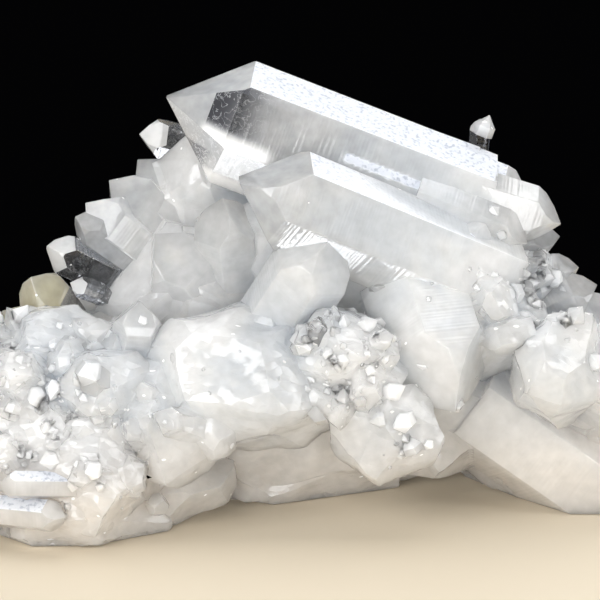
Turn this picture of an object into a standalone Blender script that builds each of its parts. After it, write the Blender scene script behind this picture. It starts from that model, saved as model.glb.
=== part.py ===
"""Quartz cluster: clear and milky quartz crystals grown together on a lumpy quartz base, as one solid.

Metres, +Z up. X runs along the main crystal, whose point is at -X, and the photographed side faces -Y.
The base is cut flat at Z = 0, where the cluster was broken off its rock, and the origin is in the middle
of the cluster's box on that cut. Every crystal is a six-sided prism with six sloping point faces, every
lump is a block broken to flat faces, and a Boolean union joins them.
"""

import math
from itertools import product

import bmesh
import bpy
import numpy as np
from mathutils import Matrix, Vector

MM = 0.001
NAME = "quartz_cluster"

# Quartz angle: from a prism face's normal up to the normal of the point face above it
POINT_SLOPE = math.radians(38.2)
PRISM_SIDES = 6
SIDE_ANGLE = math.tau / PRISM_SIDES
# How far each point face stands out from the tip, as a share of the half width: three meet at the tip
PLAIN_POINT = (0.0, 0.25, 0.0, 0.25, 0.0, 0.25)
MAIN_POINT = (0.06, 0.0, 0.03, 0.1, 0.0, 0.04)
SECOND_POINT = (0.45, 0.1, 0.2, 0.5, 0.1, 0.25)
BLUNT_POINT = (0.3, 0.0, 0.2, 0.0, 0.1, 0.0)

# Crystals by name: tip and root in mm, width across flats in mm, roll about the axis in degrees
LARGE_CRYSTALS = {
    "main": ((-33, 6, 100.5), (44, 8, 70), 28, 15, MAIN_POINT),
    "second": ((-13, -20, 84.5), (50, -8, 55.5), 22, 15, SECOND_POINT),
    "broad": ((8, -26, 73), (-10.5, -16, 41.5), 17.5, 10, PLAIN_POINT),
    "low_right": ((96, -6, -12), (42, -6, 27), 25, 0, PLAIN_POINT),
    "pointed": ((37, -33, 31), (28, -10, 56), 25, 30, PLAIN_POINT),
}
STEP_CRYSTALS = {
    "step_high": ((49, 12, 79), (20, 10, 90), 10, 0, PLAIN_POINT),
    "step_middle": ((57, 8, 73), (24, 8, 86), 13, 10, PLAIN_POINT),
    "step_low": ((65, 2, 69), (30, 2, 80), 13, -8, PLAIN_POINT),
    "step_front": ((56, -6, 66), (28, -4, 77), 11, 0, PLAIN_POINT),
    "right_one": ((65.5, 8, 64.5), (43, 10, 58), 10, 20, PLAIN_POINT),
    "right_two": ((70, 4, 57.5), (45.5, 6, 50), 9, 0, PLAIN_POINT),
    "right_three": ((74.5, 2, 53.5), (50, 0, 42), 11, 10, PLAIN_POINT),
    "right_four": ((81, 4, 48), (55.5, 0, 34.5), 13, 10, PLAIN_POINT),
}
LEFT_CRYSTALS = {
    "behind_main": ((-40.5, 14, 89.5), (-18, 24, 82), 9, 20, PLAIN_POINT),
    "clear_left": ((-63, 0, 64), (-40.5, 10, 49.5), 9, 0, BLUNT_POINT),
    "small_left": ((-57, -4, 55.5), (-43, 6, 47), 5, 0, PLAIN_POINT),
    "yellow_large": ((-66.5, -6, 57.5), (-57, 6, 38), 12, 10, PLAIN_POINT),
    "yellow_small": ((-73, -12, 50.5), (-62.5, -2, 37.5), 7, 0, PLAIN_POINT),
    "milky_high": ((-41, 14, 83), (-15.5, 20, 47.5), 20, 10, PLAIN_POINT),
    "milky_middle": ((-48, 10, 78.5), (-18, 16, 45.5), 16, 25, PLAIN_POINT),
    "milky_low": ((-53.5, 4, 74), (-20.5, 14, 46), 13, 0, PLAIN_POINT),
    "milky_edge": ((-56, 2, 71), (-23, 12, 44), 9, 40, PLAIN_POINT),
    "milky_front": ((-19, -6, 77.5), (-15, 4, 41), 15, 10, PLAIN_POINT),
    "milky_foot": ((-36, -4, 68), (-16.5, 4, 38.5), 19, 10, PLAIN_POINT),
}
SMALL_CRYSTALS = {
    "blade": ((45, -14, 73), (25, -4, 42), 7, 0, PLAIN_POINT),
    "top_small": ((45.5, 16, 93), (44.5, 16, 73.5), 4.6, 10, PLAIN_POINT),
    "frosted": ((-38, -27, 57), (-41, -20, 37), 10.5, 15, PLAIN_POINT),
    "tiny_upright": ((4, -38, 56), (3.5, -30, 41), 4.6, 10, PLAIN_POINT),
    "bright_facet": ((-49, -42, 43.5), (-44, -20, 25), 7, 10, PLAIN_POINT),
    "long_front": ((-71, -46, 17.5), (-38.5, -40, 15), 6, 0, PLAIN_POINT),
    "long_corner": ((-55, -48, 10), (-79.5, -36, 8), 7, 0, PLAIN_POINT),
}
BACK_CRYSTALS = {
    "back_left": ((-62, 44, 42), (-35, 16, 26), 14, 0, PLAIN_POINT),
    "back_high": ((-30, 50, 68), (-8, 18, 34), 16, 12, PLAIN_POINT),
    "back_middle": ((6, 62, 60), (4, 20, 32), 19, 5, PLAIN_POINT),
    "back_right": ((38, 54, 66), (20, 18, 34), 14, 20, PLAIN_POINT),
    "back_far_right": ((66, 46, 50), (40, 16, 30), 13, 8, PLAIN_POINT),
    "back_low_left": ((-26, 66, 30), (-10, 24, 22), 15, 0, PLAIN_POINT),
    "back_low_right": ((36, 66, 26), (16, 24, 22), 16, 15, PLAIN_POINT),
}
END_CRYSTALS = {
    "left_end_high": ((-88, 10, 44), (-62, 4, 28), 12, 10, PLAIN_POINT),
    "left_end_front": ((-92, -14, 36), (-64, -6, 24), 13, 0, PLAIN_POINT),
    "left_end_low": ((-95, 4, 22), (-64, 2, 18), 14, 25, PLAIN_POINT),
    "left_end_corner": ((-86, -30, 20), (-62, -14, 16), 10, 5, PLAIN_POINT),
    "left_end_back": ((-86, 28, 26), (-58, 12, 18), 12, 15, PLAIN_POINT),
    "right_end_high": ((92, -2, 42), (62, 0, 30), 13, 10, PLAIN_POINT),
    "right_end_low": ((94, 12, 26), (62, 6, 20), 14, 0, PLAIN_POINT),
    "right_end_back": ((88, 30, 34), (58, 12, 22), 12, 20, PLAIN_POINT),
    "right_end_front": ((92, -22, 34), (64, -12, 30), 12, 5, PLAIN_POINT),
}

# Lumps by name: centre and half sizes in mm
LUMPS = {
    "core": ((0, 14, 22), (62, 34, 25)),
    "left_base": ((-54, -6, 20), (34, 34, 27)),
    "right_base": ((60, 12, 22), (32, 30, 27)),
    "back_base": ((0, 38, 22), (52, 24, 25)),
    "back_left_base": ((-48, 30, 18), (30, 22, 21)),
    "back_right_base": ((50, 32, 20), (30, 24, 23)),
    "foot_left": ((-55, -25, 6), (26, 21, 13)),
    "foot_corner": ((-76, -14, 9), (15, 22, 14)),
    "foot_slope": ((-33, -17, 8), (17, 14, 12)),
    "foot_middle": ((-9, 2, 9), (34, 18, 15)),
    "foot_right": ((76, 6, 9), (16, 22, 13)),
    "front_mass": ((-14, -26, 37), (26, 15, 19)),
    "front_left_mass": ((-34, -30, 28), (15, 13, 15)),
    "left_lobe": ((-60, -28, 18), (22, 16, 16)),
    "left_knob": ((-50, -38, 17), (13, 9, 13)),
    "left_shoulder": ((-66, -27, 32), (13, 12, 12)),
    "middle_shoulder": ((-48, -30, 36), (12, 11, 11)),
    "left_top": ((-60, -12, 38), (18, 14, 14)),
    "left_edge": ((-76, -16, 26), (16, 18, 20)),
    "round_lump": ((21, -30, 26), (14, 11, 12.5)),
    "right_lump": ((62, -22, 38), (13, 12, 14)),
    "right_edge": ((76, -10, 34), (14, 14, 15)),
    "centre_glitter": ((10, -30, 45), (14, 10, 11)),
    "under_milky": ((-28, 8, 46), (24, 18, 24)),
    "under_tip": ((-22, 14, 72), (18, 12, 18)),
    "under_main": ((14, 4, 58), (36, 19, 25)),
    "right_upper": ((41, 4, 48), (23, 17, 19)),
    "right_front": ((36, -14, 48), (24, 13, 15)),
    "recess": ((34, -6, 24), (24, 14, 16)),
}
LUMP_CUTS = 18
LUMP_SHALLOW_CUT = 1.0
LUMP_DEEP_CUT = 0.78
LUMP_CORNER_LEAN = 0.22
LUMP_SEED = 20

# How many small crystals stand on each lump, and their sizes in mm
CRUST = {
    "left_base": 8,
    "right_base": 7,
    "back_base": 10,
    "back_left_base": 9,
    "back_right_base": 9,
    "foot_left": 5,
    "foot_corner": 5,
    "front_left_mass": 9,
    "left_lobe": 10,
    "left_knob": 4,
    "left_shoulder": 7,
    "middle_shoulder": 6,
    "left_top": 8,
    "left_edge": 8,
    "right_edge": 6,
    "centre_glitter": 9,
    "under_milky": 5,
    "right_upper": 6,
    "right_front": 6,
}
CRUST_SEED = 7
CRUST_ACROSS = (3.5, 8.0)
CRUST_LENGTH = 14
CRUST_STANDS = (1.0, 4.0)
# How many middling crystals stand on each lump of the back and the ends, and their sizes in mm
BACK_GROWTH = {
    "core": 5,
    "back_base": 12,
    "back_left_base": 6,
    "back_right_base": 6,
    "right_base": 4,
    "under_main": 4,
}
BACK_SEED = 5
BACK_ACROSS = (7.0, 12.0)
BACK_LENGTH = 26
BACK_STANDS = (4.0, 11.0)
BACK_FRONT_LIMIT = 12
# How all of them lean and where they start
GROWTH_LEAN = 0.45
GROWTH_RISE = 0.2
GROWTH_DEPTH = 0.96
GROWTH_LOWEST = 6
GROWTH_ROLL = (0, 60)
# Broken chips, as many as a share of the small crystals, with their half sizes in mm
CHIP_SEED = 11
CHIP_SHARE = 0.5
CHIP_HALF_SIZES = (4.0, 8.5)
CHIP_DEPTH = 0.82

# Box that cuts the base flat
GROUND_SIDE = 400
CUT_TOLERANCE = 1e-7


def cut(bm, point, normal):
    """Cut away what lies past a plane, and close the cut with one flat face."""
    geometry = bm.verts[:] + bm.edges[:] + bm.faces[:]
    result = bmesh.ops.bisect_plane(bm, geom=geometry, dist=CUT_TOLERANCE, plane_co=point, plane_no=normal,
                                    clear_outer=True)
    rim = [part for part in result["geom_cut"] if isinstance(part, bmesh.types.BMEdge)]
    if rim:
        bmesh.ops.edgeloop_fill(bm, edges=rim)


def turned_to(axis, roll):
    """The matrix that turns +Z to the axis. At roll 0 local +X is level and local +Y leans upward."""
    upright = axis.normalized()
    level = Vector((0, 0, 1)).cross(upright).normalized()
    across = upright.cross(level)
    turn = Matrix((level, across, upright)).transposed().to_4x4()
    return turn @ Matrix.Rotation(roll, 4, "Z")


def crystal_mesh(tip, root, across, roll, point):
    """A hexagonal prism from root to tip, with six point faces cut across its end."""
    tip = Vector(tip) * MM
    root = Vector(root) * MM
    half = across * MM / 2
    length = (tip - root).length + across * MM
    bm = bmesh.new()
    bmesh.ops.create_cone(bm, cap_ends=True, segments=PRISM_SIDES, radius1=half / math.cos(SIDE_ANGLE / 2),
                          radius2=half / math.cos(SIDE_ANGLE / 2), depth=length)
    bmesh.ops.translate(bm, verts=bm.verts, vec=(0, 0, across * MM - length / 2))
    for side, share in enumerate(point):
        angle = side * SIDE_ANGLE
        outward = Vector((math.cos(angle), math.sin(angle), 0))
        slope = outward * math.cos(POINT_SLOPE) + Vector((0, 0, math.sin(POINT_SLOPE)))
        cut(bm, slope * (half * share), slope)
    bm.transform(Matrix.Translation(tip) @ turned_to(tip - root, math.radians(roll)))
    return finished(bm)


def lump_mesh(centre, half_sizes, rng):
    """A block broken to an egg shape of flat faces, each cut at a random slope and depth."""
    bm = bmesh.new()
    bmesh.ops.create_cube(bm, size=2)
    corners = [np.array(corner) for corner in product((-1, 1), repeat=3)]
    corners = [corner + LUMP_CORNER_LEAN * rng.normal(size=3) for corner in corners]
    for direction in corners + [rng.normal(size=3) for _ in range(LUMP_CUTS)]:
        normal = Vector(direction).normalized()
        cut(bm, normal * rng.uniform(LUMP_DEEP_CUT, LUMP_SHALLOW_CUT), normal)
    bm.transform(Matrix.Translation(Vector(centre) * MM) @ Matrix.Diagonal((*half_sizes, 1 / MM)) * MM)
    return finished(bm)


def finished(bm):
    """The mesh of a bmesh, faces outward."""
    bmesh.ops.recalc_face_normals(bm, faces=bm.faces)
    mesh = bpy.data.meshes.new(NAME)
    bm.to_mesh(mesh)
    bm.free()
    return mesh


def feet_on(name, count, depth, front_limit, rng):
    """Random places on a lump's egg shape above the ground, each with the direction that faces outward."""
    centre, half_sizes = (np.array(values, float) for values in LUMPS[name])
    feet = []
    while len(feet) < count:
        direction = rng.normal(size=3)
        direction /= np.linalg.norm(direction)
        foot = centre + depth * direction * half_sizes
        if foot[2] > GROWTH_LOWEST and foot[1] > front_limit:
            outward = direction / half_sizes
            feet.append((foot, outward / np.linalg.norm(outward)))
    return feet


def growth(counts, across, length, stands, front_limit, seed):
    """Crystals that stand out of the lumps, each leaning its own way."""
    rng = np.random.default_rng(seed)
    crystals = []
    for name, count in counts.items():
        for foot, outward in feet_on(name, count, GROWTH_DEPTH, front_limit, rng):
            lean = outward + GROWTH_LEAN * rng.normal(size=3) + (0, 0, GROWTH_RISE)
            lean /= np.linalg.norm(lean)
            tip = foot + lean * rng.uniform(*stands)
            root = tip - lean * length
            width = rng.uniform(*across)
            crystals.append(crystal_mesh(tip, root, width, rng.uniform(*GROWTH_ROLL), PLAIN_POINT))
    return crystals


def chips():
    """Small broken blocks set into the lumps."""
    rng = np.random.default_rng(CHIP_SEED)
    blocks = []
    for name, count in CRUST.items():
        for foot, _ in feet_on(name, round(CHIP_SHARE * count), CHIP_DEPTH, -math.inf, rng):
            blocks.append(lump_mesh(foot, rng.uniform(*CHIP_HALF_SIZES, size=3), rng))
    return blocks


def quartz_material():
    """Clear to milky quartz."""
    material = bpy.data.materials.new("quartz")
    material.use_nodes = True
    shader = material.node_tree.nodes["Principled BSDF"]
    shader.inputs["Base Color"].default_value = (0.86, 0.87, 0.88, 1.0)
    shader.inputs["Roughness"].default_value = 0.08
    shader.inputs["IOR"].default_value = 1.544
    shader.inputs["Transmission Weight"].default_value = 0.7
    return material


def placed(name, mesh, collection):
    """A new object of a mesh, in a collection."""
    thing = bpy.data.objects.new(name, mesh)
    collection.objects.link(thing)
    return thing


def as_guide(thing):
    """Mark an object as a shape that only the Booleans use."""
    thing.hide_render = True
    thing.display_type = "WIRE"


def joined(first, others, ground):
    """The union of one object with a collection of others, cut flat at the ground."""
    union = first.modifiers.new("grown together", "BOOLEAN")
    union.operation = "UNION"
    union.solver = "EXACT"
    union.operand_type = "COLLECTION"
    union.collection = others
    base_cut = first.modifiers.new("base cut", "BOOLEAN")
    base_cut.operation = "DIFFERENCE"
    base_cut.solver = "EXACT"
    base_cut.object = ground
    graph = bpy.context.evaluated_depsgraph_get()
    return bpy.data.meshes.new_from_object(first.evaluated_get(graph))


def outer_body(mesh):
    """Keep the largest connected body of a mesh, without the sealed gaps that a union leaves inside."""
    bm = bmesh.new()
    bm.from_mesh(mesh)
    unseen = set(bm.verts)
    bodies = []
    while unseen:
        body = set()
        ahead = [unseen.pop()]
        while ahead:
            corner = ahead.pop()
            body.add(corner)
            for edge in corner.link_edges:
                other = edge.other_vert(corner)
                if other in unseen:
                    unseen.remove(other)
                    ahead.append(other)
        bodies.append(body)
    bodies.sort(key=len)
    bmesh.ops.delete(bm, geom=[corner for body in bodies[:-1] for corner in body], context="VERTS")
    bm.to_mesh(mesh)
    bm.free()


def set_on_origin(mesh):
    """Move a mesh so that the middle of its box is over the origin and its base is at Z = 0."""
    corners = np.array([corner.co for corner in mesh.vertices])
    low, high = corners.min(axis=0), corners.max(axis=0)
    middle = (low + high) / 2
    mesh.transform(Matrix.Translation((-middle[0], -middle[1], -low[2])))


def ground_box():
    """The box whose top is the flat cut under the base."""
    bm = bmesh.new()
    bmesh.ops.create_cube(bm, size=GROUND_SIDE * MM)
    bmesh.ops.translate(bm, verts=bm.verts, vec=(0, 0, -GROUND_SIDE * MM / 2))
    return finished(bm)


def main():
    """Build the cluster."""
    for thing in list(bpy.data.objects):
        bpy.data.objects.remove(thing, do_unlink=True)
    parts = bpy.data.collections.new(NAME)
    grown = bpy.data.collections.new("grown_shapes")
    cutters = bpy.data.collections.new("cutters")
    for collection in (parts, grown, cutters):
        bpy.context.scene.collection.children.link(collection)

    rng = np.random.default_rng(LUMP_SEED)
    shapes = [lump_mesh(*sizes, rng) for sizes in LUMPS.values()]
    for group in (LARGE_CRYSTALS, STEP_CRYSTALS, LEFT_CRYSTALS, SMALL_CRYSTALS, BACK_CRYSTALS, END_CRYSTALS):
        shapes += [crystal_mesh(*sizes) for sizes in group.values()]
    shapes += growth(CRUST, CRUST_ACROSS, CRUST_LENGTH, CRUST_STANDS, -math.inf, CRUST_SEED)
    shapes += growth(BACK_GROWTH, BACK_ACROSS, BACK_LENGTH, BACK_STANDS, BACK_FRONT_LIMIT, BACK_SEED)
    shapes += chips()

    first = placed("grown_first", shapes[0], cutters)
    as_guide(first)
    for number, mesh in enumerate(shapes[1:]):
        as_guide(placed(f"grown_{number}", mesh, grown))
    ground = placed("ground_cut", ground_box(), cutters)
    as_guide(ground)

    mesh = joined(first, grown, ground)
    outer_body(mesh)
    set_on_origin(mesh)
    mesh.materials.clear()
    mesh.materials.append(quartz_material())
    placed(NAME, mesh, parts)


main()
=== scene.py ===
"""Looks of the quartz cluster: clear and milky crystals, their crusts, a pale floor and soft studio light."""

import math

import bmesh
import bpy
import numpy as np
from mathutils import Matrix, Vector


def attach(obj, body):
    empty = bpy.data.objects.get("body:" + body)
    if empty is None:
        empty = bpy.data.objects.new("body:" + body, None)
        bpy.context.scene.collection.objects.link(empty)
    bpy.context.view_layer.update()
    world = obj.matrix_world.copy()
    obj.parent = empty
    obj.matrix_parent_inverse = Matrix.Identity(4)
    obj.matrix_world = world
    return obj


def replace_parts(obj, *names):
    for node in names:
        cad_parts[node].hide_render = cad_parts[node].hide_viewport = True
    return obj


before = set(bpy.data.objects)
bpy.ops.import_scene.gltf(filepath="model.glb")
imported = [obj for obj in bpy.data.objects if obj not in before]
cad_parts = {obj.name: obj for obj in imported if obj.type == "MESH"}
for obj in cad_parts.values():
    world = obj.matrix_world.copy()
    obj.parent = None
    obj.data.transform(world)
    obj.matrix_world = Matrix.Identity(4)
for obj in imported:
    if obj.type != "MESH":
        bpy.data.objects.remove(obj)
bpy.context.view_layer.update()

MM = 0.001
CLUSTER = "quartz_cluster"
# From the places that the crystals are laid out at, in mm, to the frame, whose origin is under the middle
# of the cluster's box
LAYOUT_SHIFT = np.array([-0.104, -8.082, 0.0])

# The crystals that can be told apart: tip, root, width across flats (mm), roll (degrees), and how clear
# the crystal is at its tip and at its root, from 0 for milky to 1 for clear
CRYSTALS = {
    "main": ((-33, 6, 100.5), (44, 8, 70), 28, 15, 0.85, 0.35),
    "second": ((-13, -20, 84.5), (50, -8, 55.5), 22, 15, 0.6, 0.3),
    "broad": ((8, -26, 73), (-10.5, -16, 41.5), 17.5, 10, 0.45, 0.3),
    "low_right": ((96, -6, -12), (42, -6, 27), 25, 0, 0.4, 0.3),
    "pointed": ((37, -33, 31), (28, -10, 56), 25, 30, 0.45, 0.3),
    "step_high": ((49, 12, 79), (20, 10, 90), 10, 0, 0.5, 0.4),
    "step_middle": ((57, 8, 73), (24, 8, 86), 13, 10, 0.5, 0.4),
    "step_low": ((65, 2, 69), (30, 2, 80), 13, -8, 0.5, 0.4),
    "step_front": ((56, -6, 66), (28, -4, 77), 11, 0, 0.5, 0.4),
    "right_one": ((65.5, 8, 64.5), (43, 10, 58), 10, 20, 0.7, 0.4),
    "right_two": ((70, 4, 57.5), (45.5, 6, 50), 9, 0, 0.7, 0.4),
    "right_three": ((74.5, 2, 53.5), (50, 0, 42), 11, 10, 0.7, 0.4),
    "right_four": ((81, 4, 48), (55.5, 0, 34.5), 13, 10, 0.6, 0.4),
    "behind_main": ((-40.5, 14, 89.5), (-18, 24, 82), 9, 20, 0.95, 0.6),
    "clear_left": ((-63, 0, 64), (-40.5, 10, 49.5), 9, 0, 0.95, 0.7),
    "small_left": ((-57, -4, 55.5), (-43, 6, 47), 5, 0, 0.9, 0.6),
    "yellow_large": ((-66.5, -6, 57.5), (-57, 6, 38), 12, 10, 0.6, 0.4),
    "yellow_small": ((-73, -12, 50.5), (-62.5, -2, 37.5), 7, 0, 0.6, 0.4),
    "milky_high": ((-41, 14, 83), (-15.5, 20, 47.5), 20, 10, 0.6, 0.4),
    "milky_middle": ((-48, 10, 78.5), (-18, 16, 45.5), 16, 25, 0.6, 0.4),
    "milky_low": ((-53.5, 4, 74), (-20.5, 14, 46), 13, 0, 0.6, 0.4),
    "milky_edge": ((-56, 2, 71), (-23, 12, 44), 9, 40, 0.75, 0.5),
    "milky_front": ((-19, -6, 77.5), (-15, 4, 41), 15, 10, 0.55, 0.4),
    "milky_foot": ((-36, -4, 68), (-16.5, 4, 38.5), 19, 10, 0.55, 0.4),
    "blade": ((45, -14, 73), (25, -4, 42), 7, 0, 0.4, 0.3),
    "top_small": ((45.5, 16, 93), (44.5, 16, 73.5), 4.6, 10, 0.95, 0.8),
    "frosted": ((-38, -27, 57), (-41, -20, 37), 10.5, 15, 0.5, 0.3),
    "tiny_upright": ((4, -38, 56), (3.5, -30, 41), 4.6, 10, 0.9, 0.6),
    "bright_facet": ((-49, -42, 43.5), (-44, -20, 25), 7, 10, 0.5, 0.3),
    "long_front": ((-71, -46, 17.5), (-38.5, -40, 15), 6, 0, 0.4, 0.3),
    "long_corner": ((-55, -48, 10), (-79.5, -36, 8), 7, 0, 0.4, 0.3),
    "back_left": ((-62, 44, 42), (-35, 16, 26), 14, 0, 0.8, 0.3),
    "back_high": ((-30, 50, 68), (-8, 18, 34), 16, 12, 0.85, 0.3),
    "back_middle": ((6, 62, 60), (4, 20, 32), 19, 5, 0.8, 0.25),
    "back_right": ((38, 54, 66), (20, 18, 34), 14, 20, 0.85, 0.3),
    "back_far_right": ((66, 46, 50), (40, 16, 30), 13, 8, 0.8, 0.3),
    "back_low_left": ((-26, 66, 30), (-10, 24, 22), 15, 0, 0.7, 0.3),
    "back_low_right": ((36, 66, 26), (16, 24, 22), 16, 15, 0.7, 0.3),
    "left_end_high": ((-88, 10, 44), (-62, 4, 28), 12, 10, 0.7, 0.3),
    "left_end_front": ((-92, -14, 36), (-64, -6, 24), 13, 0, 0.7, 0.3),
    "left_end_low": ((-95, 4, 22), (-64, 2, 18), 14, 25, 0.7, 0.3),
    "left_end_corner": ((-86, -30, 20), (-62, -14, 16), 10, 5, 0.7, 0.3),
    "left_end_back": ((-86, 28, 26), (-58, 12, 18), 12, 15, 0.7, 0.3),
    "right_end_high": ((92, -2, 42), (62, 0, 30), 13, 10, 0.7, 0.3),
    "right_end_low": ((94, 12, 26), (62, 6, 20), 14, 0, 0.7, 0.3),
    "right_end_back": ((88, 30, 34), (58, 12, 22), 12, 20, 0.7, 0.3),
    "right_end_front": ((92, -22, 34), (64, -12, 30), 12, 5, 0.6, 0.3),
}
MAIN = list(CRYSTALS).index("main") + 1
# How clear the quartz is outside these crystals
OTHER_CLEAR = 0.42
# Quartz has six-sided prisms, and its point faces slope this much
PRISM_SIDES = 6
POINT_SLOPE = math.radians(38.2)
# Faces are numbered round each crystal: 0 to 5 for its prism, 6 to 11 for its point. Here are the main
# crystal's front and lower ones, and the frosted ones of each crystal
MAIN_FRONT, MAIN_LOWER = (0, 6), (5, 11)
FROSTED_FACES = {"main": (1, 2), "second": (1,), "step_high": (1, 2), "step_middle": (1, 2), "blade": (3,),
                 "long_front": (1, 2), "long_corner": (1, 2)}
YELLOW_CRYSTALS = ("yellow_large", "yellow_small")
# Crystals with a prism of painted darkness, for the dark seen through it, under a pale point
WINDOWED_CRYSTALS = ("behind_main", "clear_left", "small_left", "top_small")
# How far outside a crystal a face's middle may lie, sideways and past the tip, in widths of the crystal
NEAR_SIDEWAYS, NEAR_PAST_TIP = 0.6, 0.3
# How closely a face has to agree with a crystal's: degrees round the axis, slope along it, and mm from it
SAME_ANGLE, SAME_SLOPE, SAME_DISTANCE = 0.8, 0.014, 0.15

# What is painted on the quartz: how clear it is, metres from the crystal's tip, whether on a prism face, and
# how frosted, how dark (painted darkness for the dark seen through clear quartz, and painted shade), how
# bright with a painted highlight, how yellow and how crusted. Where a mesh lacks one of them, it counts as 0
PAINTS = ("clear", "along", "side", "frost", "painted_dark", "gleam", "tint", "rough")
# How yellow the prism is, and how much painted darkness it has for the dark seen through it, in the yellow
# crystals; and in the windowed ones how much painted darkness the prism has and what share of its clearness
# the point keeps
YELLOW_PRISM, YELLOW_DARK = 0.35, 0.45
WINDOWED_DARK, WINDOWED_POINT = 0.6, 0.5
# Where the second crystal's frost fades out, in mm from its tip
SECOND_FROST_ENDS = (21, 26)
# Paint on the main crystal: starts and ends are in mm from its tip, and rises, tops and drops in mm above or
# below its axis. Each pair is where a fade starts and where it is over. The windows are painted darkness for
# the dark seen through the crystal, the low shade is painted shade, and the bands are painted highlights
LOWER_MILK, POINT_MILK = 0.6, 0.3
WINDOW_START = 10.8
WINDOW_RISE, WINDOW_ENDS = (-1.5, 1.0), (13, 27)
LOW_WINDOW = 0.8
LOW_WINDOW_STARTS, LOW_WINDOW_ENDS, LOW_WINDOW_DROP = (5, 8), (12, 18), (6.5, 7.5)
LOW_SHADE, LOW_SHADE_ENDS = 0.35, (20, 45)
BAND_RISE, BAND_TOP, BAND_STARTS, BAND_ENDS = (-6.5, -4.8), (-3.0, 0.2), (9, 12), (26, 30)
LOW_BAND_DROP, LOW_BAND_STARTS = (11.5, 13.0), (13, 16)
STRIP_RISE, STRIP_TOP, STRIP_STARTS = (3.0, 3.4), (4.9, 5.4), (44.5, 46)
# How crusted the lumps are where no small crystals stand
LEAST_ROUGH = 0.06

# Corners this near, in metres, are merged, and faces this near to one plane are joined
SAME_PLACE = 1e-6
FLAT_ANGLE = math.radians(0.3)
# Bevel width of the crystals' edges, and the shortest edge and least bend that get one, in mm and radians
BEVEL = 0.16
BEVEL_SHORTEST = 2.5
BEVEL_ANGLE = math.radians(18)
# Longest edges, in mm, on the lumps and on the main crystal's painted faces, and how often edges are halved
LUMP_EDGE = 1.8
PAINTED_EDGE = 1.2
HALVINGS = 5
# Faces that face down more than this are the flat base
DOWNWARD = -0.99
# Relief of the lumps in mm: broad waves, small waves and the height of broken ledges
BROAD_RELIEF, BROAD_WAVE = 0.45, 13.0
SMALL_RELIEF, SMALL_WAVE = 0.14, 3.6
LEDGE = 0.5
# How much steeper than the waves the ledges are, and how strong the small waves are where no crystals stand
LEDGE_STEEPNESS = 4
LEAST_SMALL = 0.35
WAVES = 28
WAVE_SPREAD = (0.7, 1.5)
RELIEF_SEED = 3
# Edges that bend less than this are shaded smooth
SMOOTH_ANGLE = math.radians(20)

# Regions of small crystals: centre and radius in mm, and how densely they stand
CRUST_REGIONS = {
    "front_left": ((-66, -32, 26), 38, 0.7),
    "left_edge": ((-72, -8, 40), 22, 0.7),
    "centre": ((11, -34, 46), 20, 0.8),
    "low_lump": ((26, -42, 24), 9, 0.7),
    "right_end": ((60, -8, 56), 24, 1.0),
    "right_low": ((74, -12, 42), 18, 0.6),
    "front_mass": ((-28, -40, 34), 24, 0.2),
    "steps": ((54, 4, 75), 12, 0.9),
}
# The back behind this Y, in mm, has an even crust, and the larger crystals have a far thinner one everywhere
BACK_STARTS = 14
BACK_DENSITY = 0.35
CRYSTAL_DENSITY = 0.02
# Power of the density that the crystals' number follows, and the lowest foot of a small crystal, in mm
DENSITY_POWER = 1.5
CRUST_LOWEST = 9
CRUST_COUNT = 1000
CRUST_SEED = 9
# Half width of a small crystal, in mm: least and greatest, the usual one and the spread of its logarithm
CRUST_HALF = (0.4, 2.4)
CRUST_USUAL_HALF = 0.9
CRUST_SPREAD = 0.6
# Whole length, and length of the prism that stands out of the surface under the point, in half widths
CRUST_LENGTH = (1.9, 2.8)
CRUST_STANDS_OUT = (-0.9, 0.2)
# How clear a small crystal is, from 0 to 1
CRUST_CLEAR = (0.05, 0.6)
# How far the axes stray, how much they rise, and how far the tips stray in half widths
CRUST_LEAN, CRUST_RISE, CRUST_SKEW = 0.6, 0.15, 0.22
# Share of the front ones that shine, how nearly their ground faces as they lean, and how their faces stray
GLEAMING_SHARE, GLEAMING_FACING, GLEAMING_STRAY = 0.2, 0.6, 0.05
# Small crystals whose point faces shine towards the front: their leaning, and the place and half width in mm
BRIGHT_AXIS = (0.6, -0.8, -0.3)
BRIGHT_FACETS = [
    (-48, -42, 42, 3.0), (-50, -40, 36, 1.4), (38, -32, 32, 2.0), (30, -32, 42, 1.6), (-66, -35, 44, 1.2),
    (-64, -32, 44, 1.0), (-37, -29, 52, 1.6), (4, -38, 51, 1.2), (9, -41, 46, 1.4), (15, -38, 49, 1.2),
    (23, -39, 25, 1.2), (18, -38, 44, 1.0), (7, -37, 37, 1.0), (48, -9, 74, 1.6), (54, -4, 74, 1.2),
    (50, -11, 70, 1.0), (61, 2, 61, 1.2), (66, -3, 53, 1.0), (-58, -19, 48, 1.0), (-35, -43, 33, 0.9),
    (-26, -39, 36, 0.8), (-14, -36, 47, 0.8), (-5, -39, 41, 0.8), (-64, -37, 30, 1.2), (-57, -42, 27, 1.0),
    (-66, -42, 24, 0.9), (-43, -41, 24, 0.8), (26, -38, 26, 1.0), (20, -38, 22, 0.9), (41, -21, 63, 0.9),
    (31, -27, 57, 0.8), (43, -24, 59, 0.9),
]

# How far light travels in the milky quartz between turns, in metres
BODY_SCATTER, CRUST_SCATTER = 0.012, 0.003
QUARTZ_IOR = 1.544
# Colours of the quartz: thin and thick milk, painted warm light from the floor near the base, the yellow
# crystals, frost and the specks in it, painted darkness and shade, and white for painted highlights and
# glints
THIN_MILK, THICK_MILK = "#eaeef3", "#f8f9fa"
PAINTED_FLOOR_LIGHT, YELLOW = "#efe8e0", "#efe6c8"
FROST, SPECK = "#dce0e8", "#b4bac6"
PAINTED_DARK_COLOUR, WHITE = "#76777e", "#ffffff"
# Noise values between which the clouds thicken and the specks fade, and heights in mm between which the
# painted warm light from the floor does
CLOUD_EDGE, SPECK_EDGE, FLOOR_LIGHT_EDGE = (0.38, 0.62), (0.33, 0.47), (4, 36)
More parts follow.
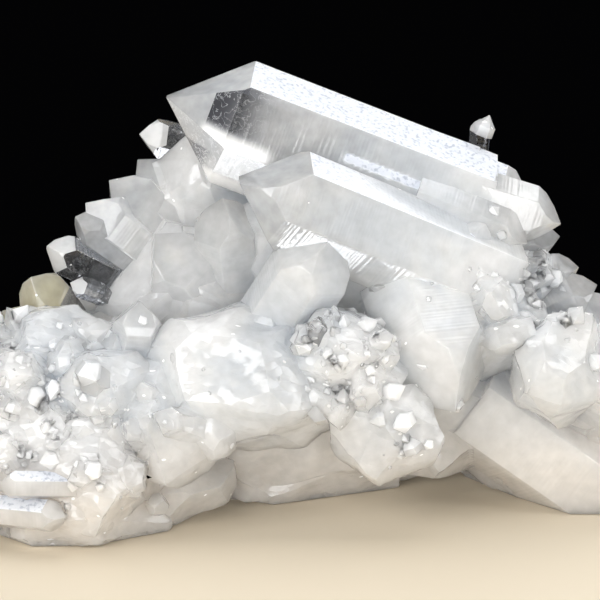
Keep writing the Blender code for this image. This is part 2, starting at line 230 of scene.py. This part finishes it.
# How much less clear the quartz is in clouds, veils, frost, crusts and painted highlights, and how much
# clearer where darkness is painted
CLOUD_MILK, VEIL_MILK, FROST_MILK, CRUST_MILK, GLEAM_MILK, DARK_CLEARS = 0.25, 0.2, 0.8, 0.3, 0.8, 0.15
# Roughness in the veils and of the frost
VEIL_ROUGHNESS, FROST_ROUGHNESS = 0.07, 0.45
# Facets on the lumps: how their cells are turned and squeezed along each axis, and how far the facets tilt
CELL_TURN, CELL_SHRINK, CELL_TILT = (0.3, 0.5, 0.4), (0.45, 1.4, 1.0), 1.2
# Painted glints: radius in cells, the least number of a cell that has one, and how much less that is where
# crusted
GLINT_RADIUS, GLINT_LEAST, GLINT_MORE = 0.18, 0.97, 0.45
# Wisps in the painted darkness: noise value in their middle, half their spread in it, and how they thin it
WISP_MIDDLE, WISP_SPREAD, WISP_THINS = 0.5, 0.02, 0.6
# Height of the growth lines and of the frost's grain, in mm
LINE_HEIGHT, GRAIN_HEIGHT = 0.1, 0.3

# Camera: looks along +Y and 15 degrees down
CAMERA_ELEVATION = math.radians(15)
CAMERA_DISTANCE = 0.6
CAMERA_TARGET = np.array([0, 0, 50.0]) + LAYOUT_SHIFT
CAMERA_LENS = 144
SENSOR_WIDTH = 36
# Lights: place and size in metres, and power in watts. All of them face one place in the cluster
LIT_PLACE = (0, 0, 0.05)
FRONT_LIGHT = (-0.5, -0.5, 0.45)
LIGHTS = {
    "top": ((0.0, 0.1, 0.7), (0.8, 0.6), 3.5),
    "behind": ((0.3, 0.6, 0.5), (0.5, 0.3), 1.4),
    "front_left": (FRONT_LIGHT, (0.4, 0.4), 3.1),
    "right": ((0.6, -0.2, 0.3), (0.45, 0.45), 2.4),
    "low_front": ((-0.1, -0.85, 0.16), (1.0, 0.3), 5.5),
}
# Linear colour of the world, which is nearly black
BACKDROP = (0.001, 0.001, 0.0012, 1)
# Floor: half its width, and its middle, in metres
FLOOR_HALF = 0.5
FLOOR_PLACE = (0, -0.39, -0.0002)


def linear(code):
    """The linear red, green, blue and alpha of an sRGB hex colour."""
    values = [int(code[start:start + 2], 16) / 255 for start in (1, 3, 5)]
    return tuple(v / 12.92 if v <= 0.04045 else ((v + 0.055) / 1.055) ** 2.4 for v in values) + (1.0,)


def unit(vectors):
    """Vectors divided by their lengths."""
    return vectors / np.linalg.norm(vectors, axis=-1, keepdims=True)


def turned_to(axis, roll):
    """Three unit vectors: level, upward and along the axis, turned about it by the roll."""
    axis = unit(axis)
    level = unit(np.cross((0, 0, 1), axis))
    upward = np.cross(axis, level)
    c, s = math.cos(roll), math.sin(roll)
    return c * level + s * upward, c * upward - s * level, axis


def owners_of(centres, normals):
    """Which crystal each face is on, from 1, and which of its faces it is: the planes have to agree."""
    owner = np.zeros(len(centres), int)
    kind = np.full(len(centres), -1)
    for number, (tip, root, across, roll, _, _) in enumerate(CRYSTALS.values(), 1):
        tip, root = np.array(tip, float), np.array(root, float)
        first, second, axis = turned_to(tip - root, math.radians(roll))
        offset = centres - tip
        height = offset @ axis
        outward = offset - height[:, None] * axis
        near = np.linalg.norm(outward, axis=1) < NEAR_SIDEWAYS * across
        near &= height < NEAR_PAST_TIP * across
        near &= height > -np.linalg.norm(tip - root) - across
        slope = normals @ axis
        angle = np.degrees(np.arctan2(normals @ second, normals @ first))
        face = np.round(angle / 60).astype(int) % PRISM_SIDES
        straight = near & (abs((angle + 30) % 60 - 30) < SAME_ANGLE)
        prism = straight & (abs(slope) < SAME_SLOPE)
        prism &= abs(np.einsum("ij,ij->i", outward, normals) - across / 2) < SAME_DISTANCE
        point = straight & (abs(slope - math.sin(POINT_SLOPE)) < SAME_SLOPE)
        owner[prism | point] = number
        kind[prism] = face[prism]
        kind[point] = face[point] + PRISM_SIDES
    return owner, kind


def mark_crystals(bm):
    """Note on each face which crystal it is on and which of the crystal's faces it is, in two layers."""
    centres = np.array([face.calc_center_median() for face in bm.faces]) / MM - LAYOUT_SHIFT
    normals = np.array([face.normal for face in bm.faces])
    owner_layer = bm.faces.layers.int.new("owner")
    kind_layer = bm.faces.layers.int.new("kind")
    for face, number, side in zip(bm.faces, *owners_of(centres, normals)):
        face[owner_layer] = int(number)
        face[kind_layer] = int(side)
    return owner_layer, kind_layer


def bevel_crystals(bm, owner_layer, kind_layer):
    """Bevel the crystals' long sharp edges, but not the one that crosses the main crystal's clear window."""
    crystal_edges = []
    for edge in bm.edges:
        ends = {face[owner_layer] for face in edge.link_faces}
        sides = {face[kind_layer] for face in edge.link_faces}
        in_window = ends == {MAIN} and sides == set(MAIN_FRONT)
        on_one_crystal = len(ends) == 1 and 0 not in ends
        long_and_sharp = edge.calc_length() > BEVEL_SHORTEST * MM and edge.calc_face_angle(0) > BEVEL_ANGLE
        if on_one_crystal and edge.is_convex and long_and_sharp and not in_window:
            crystal_edges.append(edge)
    bmesh.ops.bevel(bm, geom=crystal_edges, offset=BEVEL * MM, segments=1, affect="EDGES",
                    clamp_overlap=False, profile=0.5)


def cut_at_window(bm, owner_layer):
    """Cut the main crystal's faces across where its clear window starts."""
    tip, root = (np.array(end, float) for end in CRYSTALS["main"][:2])
    axis = unit(tip - root)
    faces = [face for face in bm.faces if face[owner_layer] == MAIN]
    edges = list({edge for face in faces for edge in face.edges})
    corners = list({corner for face in faces for corner in face.verts})
    bmesh.ops.bisect_plane(bm, geom=corners + edges + faces, plane_no=axis,
                           plane_co=(tip - WINDOW_START * axis + LAYOUT_SHIFT) * MM)


def split_long_edges(bm, owner_layer):
    """Halve every edge that is longer than the least limit of its faces, as often as needed or allowed."""
    def limit_of(face):
        if face[owner_layer] == MAIN:
            return PAINTED_EDGE
        on_base = face.normal.z < DOWNWARD
        return LUMP_EDGE if face[owner_layer] == 0 and not on_base else math.inf

    for _ in range(HALVINGS):
        long_edges = []
        for edge in bm.edges:
            limit = min(limit_of(face) for face in edge.link_faces) * MM
            if edge.calc_length() > limit:
                long_edges.append(edge)
        if not long_edges:
            break
        bmesh.ops.subdivide_edges(bm, edges=long_edges, cuts=1, use_grid_fill=False)
        bmesh.ops.triangulate(bm, faces=[face for face in bm.faces if len(face.verts) > 3])


def body_mesh():
    """The cluster's mesh: merged, its crystals' edges bevelled, and its lumps split finely for relief."""
    bm = bmesh.new()
    bm.from_mesh(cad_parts[CLUSTER].data)
    bmesh.ops.remove_doubles(bm, verts=bm.verts, dist=SAME_PLACE)
    bmesh.ops.dissolve_limit(bm, angle_limit=FLAT_ANGLE, verts=bm.verts, edges=bm.edges)
    owner_layer, kind_layer = mark_crystals(bm)
    bevel_crystals(bm, owner_layer, kind_layer)
    cut_at_window(bm, owner_layer)
    bmesh.ops.triangulate(bm, faces=bm.faces)
    split_long_edges(bm, owner_layer)
    mesh = bpy.data.meshes.new("quartz_body")
    bm.to_mesh(mesh)
    bm.free()
    # The solid's own shading directions don't fit the bevelled mesh
    mesh.attributes.remove(mesh.attributes["custom_normal"])
    return mesh


def read(collection, name, width, kind=float):
    """An array of one value of every item of a mesh collection."""
    values = np.empty(len(collection) * width, kind)
    collection.foreach_get(name, values)
    return values.reshape(-1, width) if width > 1 else values


def waves(places, wavelength, rng):
    """Random hills of height about 1: a sum of sine waves, each with its own direction, length and phase."""
    directions = unit(rng.normal(size=(WAVES, 3)))
    directions /= wavelength * rng.uniform(*WAVE_SPREAD, (WAVES, 1))
    phases = rng.uniform(0, math.tau, WAVES)
    return np.sin(math.tau * places @ directions.T + phases).sum(axis=1) / math.sqrt(WAVES / 2)


def density_at(places):
    """How densely small crystals stand at each place: each region falls off as one minus distance squared."""
    density = np.where(places[:, 1] > BACK_STARTS, BACK_DENSITY, 0.0)
    for centre, radius, strength in CRUST_REGIONS.values():
        share = np.linalg.norm(places - np.array(centre), axis=1) / radius
        density = np.maximum(density, strength * np.clip(1 - share ** 2, 0, 1))
    return density


def weather_lumps(mesh):
    """Give the lumps their broken surface: broad waves with ledges, and small waves where crystals stand."""
    rng = np.random.default_rng(RELIEF_SEED)
    places = read(mesh.vertices, "co", 3) / MM - LAYOUT_SHIFT
    normals = read(mesh.vertices, "normal", 3)
    owner = read(mesh.attributes["owner"].data, "value", 1, int)
    corners = read(mesh.loops, "vertex_index", 1, int).reshape(-1, 3)
    free = np.ones(len(places))
    free[corners[owner > 0]] = 0
    # The base stays flat, and so does what is less than a ledge above it
    free[places[:, 2] < LEDGE] = 0
    broad = BROAD_RELIEF * waves(places, BROAD_WAVE, rng)
    steps = np.floor(broad / LEDGE) + np.clip((broad / LEDGE % 1) * LEDGE_STEEPNESS, 0, 1)
    ledges = LEDGE * steps - LEDGE
    rough = np.clip(density_at(places), 0, 1)
    height = (broad + ledges) / 2 + (LEAST_SMALL + rough) * SMALL_RELIEF * waves(places, SMALL_WAVE, rng)
    places += (free * height)[:, None] * normals
    mesh.vertices.foreach_set("co", ((places + LAYOUT_SHIFT) * MM).ravel())
    mesh.update()


def fade(values, start, end):
    """0 before the start and 1 past the end, in a smooth curve."""
    share = np.clip((values - start) / (end - start), 0, 1)
    return share * share * (3 - 2 * share)


def paint_main(paints, mine, kind, depth, rise):
    """Paint the main crystal: less clear below and at its point, with windows of painted darkness in front
    and below for the dark seen through it, painted shade on its lower faces near the point, white bands of
    painted highlight under them and a frosted strip. Each ends in a smooth fade along the crystal or across
    it."""
    front = np.isin(kind, MAIN_FRONT)
    lower = np.isin(kind, MAIN_LOWER)
    on_point = kind >= PRISM_SIDES
    paints["clear"][mine] *= (1 - LOWER_MILK * lower) * (1 - POINT_MILK * on_point)
    past_start = (depth.mean(axis=1) > WINDOW_START)[:, None]
    window = past_start * fade(rise, *WINDOW_RISE) * (1 - fade(depth, *WINDOW_ENDS))
    low_window = fade(depth, *LOW_WINDOW_STARTS) * (1 - fade(depth, *LOW_WINDOW_ENDS))
    low_window *= LOW_WINDOW * fade(-rise, *LOW_WINDOW_DROP)
    shade = LOW_SHADE * (1 - fade(depth, *LOW_SHADE_ENDS))
    # Painted darkness for the dark seen through the windows, and painted shade on the lower faces
    paints["painted_dark"][mine] = front * window + lower * np.maximum(low_window, shade)
    strip = fade(rise, *STRIP_RISE) * (1 - fade(rise, *STRIP_TOP)) * fade(depth, *STRIP_STARTS)
    paints["frost"][mine] += front * strip
    # Painted highlights in white bands, on the front under the window and on the lower faces
    band = fade(rise, *BAND_RISE) * (1 - fade(rise, *BAND_TOP)) * fade(depth, *BAND_STARTS)
    low_band = fade(-rise, *LOW_BAND_DROP) * fade(depth, *LOW_BAND_STARTS)
    paints["gleam"][mine] = (front * band + lower * low_band) * (1 - fade(depth, *BAND_ENDS))


def paint_body(mesh):
    """Give each face corner its paints. How clear a crystal is changes evenly from its tip to its root."""
    places = read(mesh.vertices, "co", 3) / MM - LAYOUT_SHIFT
    corners = read(mesh.loops, "vertex_index", 1, int).reshape(-1, 3)
    owner = read(mesh.attributes["owner"].data, "value", 1, int)
    kinds = read(mesh.attributes["kind"].data, "value", 1, int)
    paints = {name: np.zeros(corners.shape) for name in PAINTS}
    paints["clear"] += OTHER_CLEAR
    crusted = np.clip(LEAST_ROUGH + density_at(places), 0, 1)
    paints["rough"] = (owner == 0)[:, None] * crusted[corners]
    for number, (name, (tip, root, _, _, clear_tip, clear_root)) in enumerate(CRYSTALS.items(), 1):
        tip, root = np.array(tip, float), np.array(root, float)
        _, upward, axis = turned_to(tip - root, 0)
        mine = owner == number
        kind = kinds[mine, None]
        offset = places[corners[mine]] - tip
        depth, rise = -offset @ axis, offset @ upward
        share = np.clip(depth / np.linalg.norm(tip - root), 0, 1)
        on_prism = kind < PRISM_SIDES
        paints["clear"][mine] = clear_tip + (clear_root - clear_tip) * share
        paints["along"][mine] = depth * MM
        paints["side"][mine] = on_prism
        paints["frost"][mine] = np.isin(kind, FROSTED_FACES.get(name, ()))
        if name == "second":
            paints["frost"][mine] *= 1 - fade(depth, *SECOND_FROST_ENDS)
        # The yellow and windowed crystals' prisms get painted darkness, for the dark seen through them
        if name in YELLOW_CRYSTALS:
            paints["tint"][mine] = np.where(on_prism, YELLOW_PRISM, 1.0)
            paints["painted_dark"][mine] = np.where(on_prism, YELLOW_DARK, 0.0)
        if name in WINDOWED_CRYSTALS:
            paints["painted_dark"][mine] = np.where(on_prism, WINDOWED_DARK, 0.0)
            paints["clear"][mine] *= np.where(on_prism, 1.0, WINDOWED_POINT)
        if name == "main":
            paint_main(paints, mine, kind, depth, rise)
    for name, numbers in paints.items():
        layer = mesh.attributes.new(name, "FLOAT", "CORNER")
        layer.data.foreach_set("value", numbers.ravel())


def feet_of_crust(mesh, rng):
    """Random feet of small crystals on a mesh, drawn by area and density, and the way out at each of them."""
    places = read(mesh.vertices, "co", 3) / MM - LAYOUT_SHIFT
    corners = read(mesh.loops, "vertex_index", 1, int).reshape(-1, 3)
    owner = read(mesh.attributes["owner"].data, "value", 1, int)
    normals = read(mesh.polygons, "normal", 3)
    area = read(mesh.polygons, "area", 1)
    triangles = places[corners]
    centres = triangles.mean(axis=1)
    weight = area * density_at(centres) ** DENSITY_POWER * np.where(owner > 0, CRYSTAL_DENSITY, 1.0)
    weight[centres[:, 2] < CRUST_LOWEST] = 0
    # The draws go by the triangles' and corners' places, because the mesh's own order varies from run to run
    order = np.lexsort(centres.round(2).T)
    chosen = order[rng.choice(len(order), CRUST_COUNT, p=weight[order] / weight.sum())]
    by_place = np.argsort(triangles[chosen, :, :1], axis=1)
    shares = rng.dirichlet((1, 1, 1), CRUST_COUNT)
    feet = np.einsum("ij,ijk->ik", shares, np.take_along_axis(triangles[chosen], by_place, axis=1))
    return feet, normals[chosen]


def crust_directions(outward, gleaming, rng):
    """Three unit vectors of each small crystal: towards one of its sides, beside that, and along its axis,
    which strays from the outward direction. A gleaming one has a point face that halves the angle between the
    front view and the light at the front left, and its axis leans 90 less 38.2 degrees away from that face's
    own direction."""
    stray = outward + CRUST_LEAN * rng.normal(size=outward.shape) + (0, 0, CRUST_RISE)
    axis = unit(np.where(gleaming, BRIGHT_AXIS, stray))
    view = np.array([0, -math.cos(CAMERA_ELEVATION), math.sin(CAMERA_ELEVATION)])
    halfway = unit(np.array(FRONT_LIGHT)) + view
    gleam = unit(halfway + GLEAMING_STRAY * rng.normal(size=outward.shape))
    beside = unit(np.cross(gleam, np.cross(axis, gleam)))
    gleam_axis = math.sin(POINT_SLOPE) * gleam + math.cos(POINT_SLOPE) * beside
    axis = np.where(gleaming, gleam_axis, axis)
    first = unit(np.cross(axis, rng.normal(size=outward.shape)))
    gleam_side = unit(gleam - (gleam * axis).sum(axis=1, keepdims=True) * axis)
    first = np.where(gleaming, gleam_side, first)
    return first, np.cross(axis, first), axis


def small_crystal_faces(count):
    """Corner numbers of the sides, point faces and foot of each small crystal: its corners are two rings and
    a tip."""
    here = np.arange(PRISM_SIDES)
    there = (here + 1) % PRISM_SIDES
    tips = np.full(PRISM_SIDES, 2 * PRISM_SIDES)
    sides = np.stack([here, there, there + PRISM_SIDES, here + PRISM_SIDES], axis=1)
    points = np.stack([here + PRISM_SIDES, there + PRISM_SIDES, tips], axis=1)
    starts = np.arange(count)[:, None, None] * (2 * PRISM_SIDES + 1)
    faces = (sides + starts).reshape(-1, 4).tolist() + (points + starts).reshape(-1, 3).tolist()
    return faces + (here[::-1] + starts[:, 0]).tolist()


def crust_mesh(body):
    """Small quartz crystals as one mesh. Each is a base ring and a shoulder ring of six corners round its
    axis, at half width over the cosine of 30 degrees, and a tip that stands half width over the tangent of
    38.2 degrees past the shoulders. What would reach below the flat base is pressed up to it."""
    rng = np.random.default_rng(CRUST_SEED)
    feet, outward = feet_of_crust(body, rng)
    half = CRUST_USUAL_HALF * np.exp(CRUST_SPREAD * rng.normal(size=(len(feet), 1)))
    bright = np.array(BRIGHT_FACETS)
    feet = np.concatenate([bright[:, :3], feet])
    outward = np.concatenate([np.tile(BRIGHT_AXIS, (len(bright), 1)), outward])
    half = np.concatenate([bright[:, 3:], np.clip(half, *CRUST_HALF)])
    count = len(feet)
    length = half * rng.uniform(*CRUST_LENGTH, (count, 1))
    facing = (outward * unit(np.array(BRIGHT_AXIS))).sum(axis=1, keepdims=True) > GLEAMING_FACING
    gleaming = facing & (rng.uniform(size=(count, 1)) < GLEAMING_SHARE)
    gleaming[:len(bright)] = True
    first, second, axis = crust_directions(outward, gleaming, rng)
    angles = (np.arange(PRISM_SIDES) + 0.5) * math.tau / PRISM_SIDES
    ring = first[:, None] * np.cos(angles)[:, None] + second[:, None] * np.sin(angles)[:, None]
    ring *= half[:, None] / math.cos(math.pi / PRISM_SIDES)
    stands_out = rng.uniform(*CRUST_STANDS_OUT, (count, 1))
    stands_out[:len(bright)] = CRUST_STANDS_OUT[0]
    shoulder = feet + half * stands_out * axis
    tip = shoulder + half / math.tan(POINT_SLOPE) * axis
    base = tip - length * axis
    skew = CRUST_SKEW * half * rng.normal(size=(count, 1)) * first
    tip = tip + np.where(gleaming, 0, skew)
    corners = np.concatenate([base[:, None] + ring, shoulder[:, None] + ring, tip[:, None]], axis=1)
    corners[..., 2] = np.maximum(corners[..., 2], 0)
    mesh = bpy.data.meshes.new("quartz_crust")
    places = ((corners + LAYOUT_SHIFT) * MM).reshape(-1, 3)
    mesh.from_pydata(places, [], small_crystal_faces(count))
    clear = np.repeat(rng.uniform(*CRUST_CLEAR, count), corners.shape[1])
    mesh.attributes.new("clear", "FLOAT", "POINT").data.foreach_set("value", clear)
    return mesh


def node(tree, kind, inputs=None, **settings):
    """Add a node with its settings, and set its inputs or link them to sockets or to nodes' first outputs."""
    made = tree.nodes.new(kind)
    for name, value in settings.items():
        setattr(made, name, value)
    for name, value in (inputs or {}).items():
        if isinstance(value, bpy.types.Node):
            value = next(output for output in value.outputs if output.enabled)
        if isinstance(value, bpy.types.NodeSocket):
            tree.links.new(value, made.inputs[name])
        else:
            made.inputs[name].default_value = value
    return made


def new_material(name):
    """A material with its tree and its Principled shader."""
    material = bpy.data.materials.new(name)
    material.use_nodes = True
    return material, material.node_tree, material.node_tree.nodes["Principled BSDF"]


def quartz_patterns(tree, quartz):
    """Add the quartz's height and patterns to what is painted on it, each under its name."""
    place = node(tree, "ShaderNodeTexCoord").outputs["Object"]
    quartz["height"] = node(tree, "ShaderNodeSeparateXYZ", {"Vector": place}).outputs["Z"]
    # Milky clouds about 20 mm wide, fine veils about 3 mm wide, and the frost's grain, about 1 mm wide
    quartz["cloud"] = node(tree, "ShaderNodeTexNoise", {"Vector": place, "Scale": 50.0, "Detail": 3.0,
                                                        "Distortion": 0.4})
    quartz["veil"] = node(tree, "ShaderNodeTexNoise", {"Vector": place, "Scale": 330.0, "Detail": 2.0})
    quartz["grain"] = node(tree, "ShaderNodeTexNoise", {"Vector": place, "Scale": 950.0, "Detail": 2.0})
    # Cells about 2 mm wide, drawn out one way and flattened another, each with a number and a middle
    drawn_out = node(tree, "ShaderNodeMapping", {"Vector": place, "Rotation": CELL_TURN,
                                                 "Scale": CELL_SHRINK}).outputs["Vector"]
    cell = node(tree, "ShaderNodeTexVoronoi", {"Vector": drawn_out, "Scale": 480.0})
    number = node(tree, "ShaderNodeSeparateColor", {"Color": cell.outputs["Color"]})
    # Painted highlights: white where the painted gleam is, and painted glints in the middle of some cells,
    # more
    #     where small crystals stand
    least = node(tree, "ShaderNodeMath", {0: quartz["rough"], 1: -GLINT_MORE, 2: GLINT_LEAST},
                 operation="MULTIPLY_ADD")
    chosen = node(tree, "ShaderNodeMath", {0: number, 1: least}, operation="GREATER_THAN")
    core = node(tree, "ShaderNodeMath", {0: cell.outputs["Distance"], 1: GLINT_RADIUS}, operation="LESS_THAN")
    painted_glint = node(tree, "ShaderNodeMath", {0: core, 1: chosen}, operation="MULTIPLY")
    quartz["white"] = node(tree, "ShaderNodeMath", {0: quartz["gleam"], 1: painted_glint}, operation="MAXIMUM")
    # Facets of broken and crusted quartz: in each cell a plane that tilts its own way
    offset = node(tree, "ShaderNodeVectorMath", {0: drawn_out, 1: cell.outputs["Position"]},
                  operation="SUBTRACT")
    lean = node(tree, "ShaderNodeVectorMath", {0: cell.outputs["Color"], 1: (0.5, 0.5, 0.5)},
                operation="SUBTRACT")
    quartz["facet"] = node(tree, "ShaderNodeVectorMath", {0: offset.outputs["Vector"],
                                                          1: lean.outputs["Vector"]},
                           operation="DOT_PRODUCT").outputs["Value"]
    # The painted darkness and shade, thinned by wisps: where a twisted noise, about 2.4 mm wide, crosses its
    # middle
    twist = node(tree, "ShaderNodeTexNoise", {"Vector": place, "Scale": 420.0, "Detail": 2.0,
                                              "Distortion": 1.2})
    wisp = node(tree, "ShaderNodeMath", {0: twist, 1: WISP_MIDDLE, 2: WISP_SPREAD}, operation="COMPARE")
    thinned = node(tree, "ShaderNodeMath", {0: wisp, 1: -WISP_THINS, 2: 1.0}, operation="MULTIPLY_ADD")
    quartz["wisped_dark"] = node(tree, "ShaderNodeMath", {0: quartz["painted_dark"], 1: thinned}, operation="MULTIPLY")


def quartz_colour(tree, quartz):
    """Thin and thick milk, with painted warm light from the floor near the base and yellow in some crystals,
    and over it the frost with its grey specks, the painted darkness and shade with its wisps, and white
    painted highlights and glints."""
    thick = node(tree, "ShaderNodeMapRange", {"Value": quartz["cloud"], "From Min": CLOUD_EDGE[0],
                                              "From Max": CLOUD_EDGE[1]})
    colour = node(tree, "ShaderNodeMix", {"Factor": thick, "A": linear(THIN_MILK), "B": linear(THICK_MILK)},
                  data_type="RGBA")
    # Painted warm light bounced from the floor: full near the base and fading out higher up
    low = node(tree, "ShaderNodeMapRange", {"Value": quartz["height"], "From Min": FLOOR_LIGHT_EDGE[0] * MM,
                                            "From Max": FLOOR_LIGHT_EDGE[1] * MM, "To Min": 1.0, "To Max": 0.0},
               interpolation_type="SMOOTHSTEP")
    even = node(tree, "ShaderNodeMapRange", {"Value": quartz["grain"], "From Min": SPECK_EDGE[0],
                                             "From Max": SPECK_EDGE[1]})
    frost = node(tree, "ShaderNodeMix", {"Factor": even, "A": linear(SPECK), "B": linear(FROST)},
                 data_type="RGBA")
    # Over the milk: painted floor light, yellow, frost, painted darkness and shade, and painted highlights
    layers = ((low, linear(PAINTED_FLOOR_LIGHT)), (quartz["tint"], linear(YELLOW)), (quartz["frost"], frost),
              (quartz["wisped_dark"], linear(PAINTED_DARK_COLOUR)), (quartz["white"], linear(WHITE)))
    for share, layer in layers:
        colour = node(tree, "ShaderNodeMix", {"Factor": share, "A": colour, "B": layer}, data_type="RGBA")
    return colour.outputs["Result"]


def quartz_clarity(tree, quartz):
    """As clear as painted, less so in clouds, veils, frost, crusts and painted highlights, and more so in
    gaps between the clouds and veils and where darkness is painted."""
    clarity = node(tree, "ShaderNodeMath", {0: quartz["clear"], 1: (CLOUD_MILK + VEIL_MILK) / 2},
                   operation="ADD")
    effects = {"cloud": -CLOUD_MILK, "veil": -VEIL_MILK, "frost": -FROST_MILK, "rough": -CRUST_MILK,
               "wisped_dark": DARK_CLEARS, "white": -GLEAM_MILK}
    for word, effect in effects.items():
        clarity = node(tree, "ShaderNodeMath", {0: quartz[word], 1: effect, 2: clarity},
                       operation="MULTIPLY_ADD")
    return node(tree, "ShaderNodeClamp", {"Value": clarity}).outputs["Result"]


def quartz_roughness(tree, quartz):
    """Glassy, slightly satin in the veils and dull where frosted."""
    satin = node(tree, "ShaderNodeMath", {0: quartz["veil"], 1: VEIL_ROUGHNESS}, operation="MULTIPLY")
    roughness = node(tree, "ShaderNodeMath", {0: quartz["frost"], 1: FROST_ROUGHNESS, 2: satin},
                     operation="MULTIPLY_ADD")
    return roughness.outputs["Value"]


def quartz_relief(tree, quartz):
    """Growth lines across the prism faces, 0.7 mm apart, grain on the frosted faces and facets on the lumps,
    with heights in mm."""
    line_place = node(tree, "ShaderNodeCombineXYZ", {"X": quartz["along"]})
    lines = node(tree, "ShaderNodeTexNoise", {"Vector": line_place, "Scale": 1400.0, "Detail": 0.0})
    lines = node(tree, "ShaderNodeMath", {0: lines, 1: quartz["side"]}, operation="MULTIPLY")
    relief = node(tree, "ShaderNodeMath", {0: lines, 1: LINE_HEIGHT}, operation="MULTIPLY")
    frosting = node(tree, "ShaderNodeMath", {0: quartz["grain"], 1: quartz["frost"]}, operation="MULTIPLY")
    relief = node(tree, "ShaderNodeMath", {0: frosting, 1: GRAIN_HEIGHT, 2: relief}, operation="MULTIPLY_ADD")
    facet = node(tree, "ShaderNodeMath", {0: quartz["facet"], 1: CELL_TILT / MM}, operation="MULTIPLY")
    relief = node(tree, "ShaderNodeMath", {0: facet, 1: quartz["rough"], 2: relief}, operation="MULTIPLY_ADD")
    return node(tree, "ShaderNodeBump", {"Height": relief, "Distance": MM, "Strength": 1.0}).outputs["Normal"]


def quartz_material(name, scatter):
    """Natural quartz, as it grew: glassy faces, clear where it grew undisturbed and milky with cloudy veils
    elsewhere. Light travels the scatter length, in metres, between turns in the milk."""
    material, tree, shader = new_material(name)
    quartz = {}
    for word in PAINTS:
        quartz[word] = node(tree, "ShaderNodeAttribute", attribute_name=word).outputs["Fac"]
    quartz_patterns(tree, quartz)
    tree.links.new(quartz_colour(tree, quartz), shader.inputs["Base Color"])
    tree.links.new(quartz_clarity(tree, quartz), shader.inputs["Transmission Weight"])
    tree.links.new(quartz_roughness(tree, quartz), shader.inputs["Roughness"])
    tree.links.new(quartz_relief(tree, quartz), shader.inputs["Normal"])
    shader.inputs["IOR"].default_value = QUARTZ_IOR
    shader.inputs["Subsurface Weight"].default_value = 1.0
    shader.inputs["Subsurface Radius"].default_value = (1.0, 1.0, 1.0)
    shader.inputs["Subsurface Scale"].default_value = scatter
    return material


def add_piece(name, mesh, material):
    """An object of a mesh that is part of the cluster, in one finish."""
    mesh.materials.append(material)
    piece = bpy.data.objects.new(name, mesh)
    bpy.context.scene.collection.objects.link(piece)
    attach(piece, "root")
    return piece


def add_cluster():
    """The cluster's body, which stands for the solid, and the crust of small crystals on it."""
    body = body_mesh()
    weather_lumps(body)
    paint_body(body)
    crust = crust_mesh(body)
    body.polygons.foreach_set("use_smooth", np.ones(len(body.polygons), bool))
    body.set_sharp_from_angle(angle=SMOOTH_ANGLE)
    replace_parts(add_piece("crystals_body", body, quartz_material("grown_quartz", BODY_SCATTER)), CLUSTER)
    add_piece("small_crystals", crust, quartz_material("crust_quartz", CRUST_SCATTER))


def add_floor():
    """A plain pale floor that ends behind the cluster."""
    mesh = bpy.data.meshes.new("floor")
    bm = bmesh.new()
    bmesh.ops.create_grid(bm, x_segments=1, y_segments=1, size=FLOOR_HALF)
    bmesh.ops.translate(bm, verts=bm.verts, vec=FLOOR_PLACE)
    bm.to_mesh(mesh)
    bm.free()
    # Matt paint: pale and without gloss
    material, _, shader = new_material("pale_floor")
    shader.inputs["Base Color"].default_value = linear("#e3d6bf")
    shader.inputs["Roughness"].default_value = 0.6
    mesh.materials.append(material)
    floor = bpy.data.objects.new("floor", mesh)
    bpy.context.scene.collection.objects.link(floor)


def add_lights():
    """Soft studio light: wide overhead and low in front, and smaller behind, at the front left and right."""
    for name, (place, size, power) in LIGHTS.items():
        lamp = bpy.data.lights.new(name, "AREA")
        lamp.shape = "RECTANGLE"
        lamp.size, lamp.size_y = size
        lamp.energy = power
        thing = bpy.data.objects.new(name, lamp)
        thing.location = place
        thing.rotation_euler = (Vector(LIT_PLACE) - Vector(place)).to_track_quat("-Z", "Y").to_euler()
        thing.visible_camera = False
        bpy.context.scene.collection.objects.link(thing)
    world = bpy.data.worlds.new("studio")
    world.use_nodes = True
    world.node_tree.nodes["Background"].inputs["Color"].default_value = BACKDROP
    bpy.context.scene.world = world


def add_camera():
    """The camera, at the photograph's viewing angle."""
    toward = Vector((0, -math.cos(CAMERA_ELEVATION), math.sin(CAMERA_ELEVATION)))
    camera = bpy.data.cameras.new("camera")
    camera.lens = CAMERA_LENS
    camera.sensor_width = SENSOR_WIDTH
    camera.clip_start = 0.01
    thing = bpy.data.objects.new("camera", camera)
    thing.location = Vector(CAMERA_TARGET * MM) + toward * CAMERA_DISTANCE
    thing.rotation_euler = (-toward).to_track_quat("-Z", "Y").to_euler()
    bpy.context.scene.collection.objects.link(thing)
    bpy.context.scene.camera = thing


add_cluster()
add_floor()
add_lights()
add_camera()

scene = bpy.context.scene
scene.view_settings.view_transform = "Standard"
scene.cycles.max_bounces = 7
scene.cycles.transmission_bounces = 5
scene.cycles.glossy_bounces = 3
scene.cycles.diffuse_bounces = 2
scene.cycles.use_denoising = True
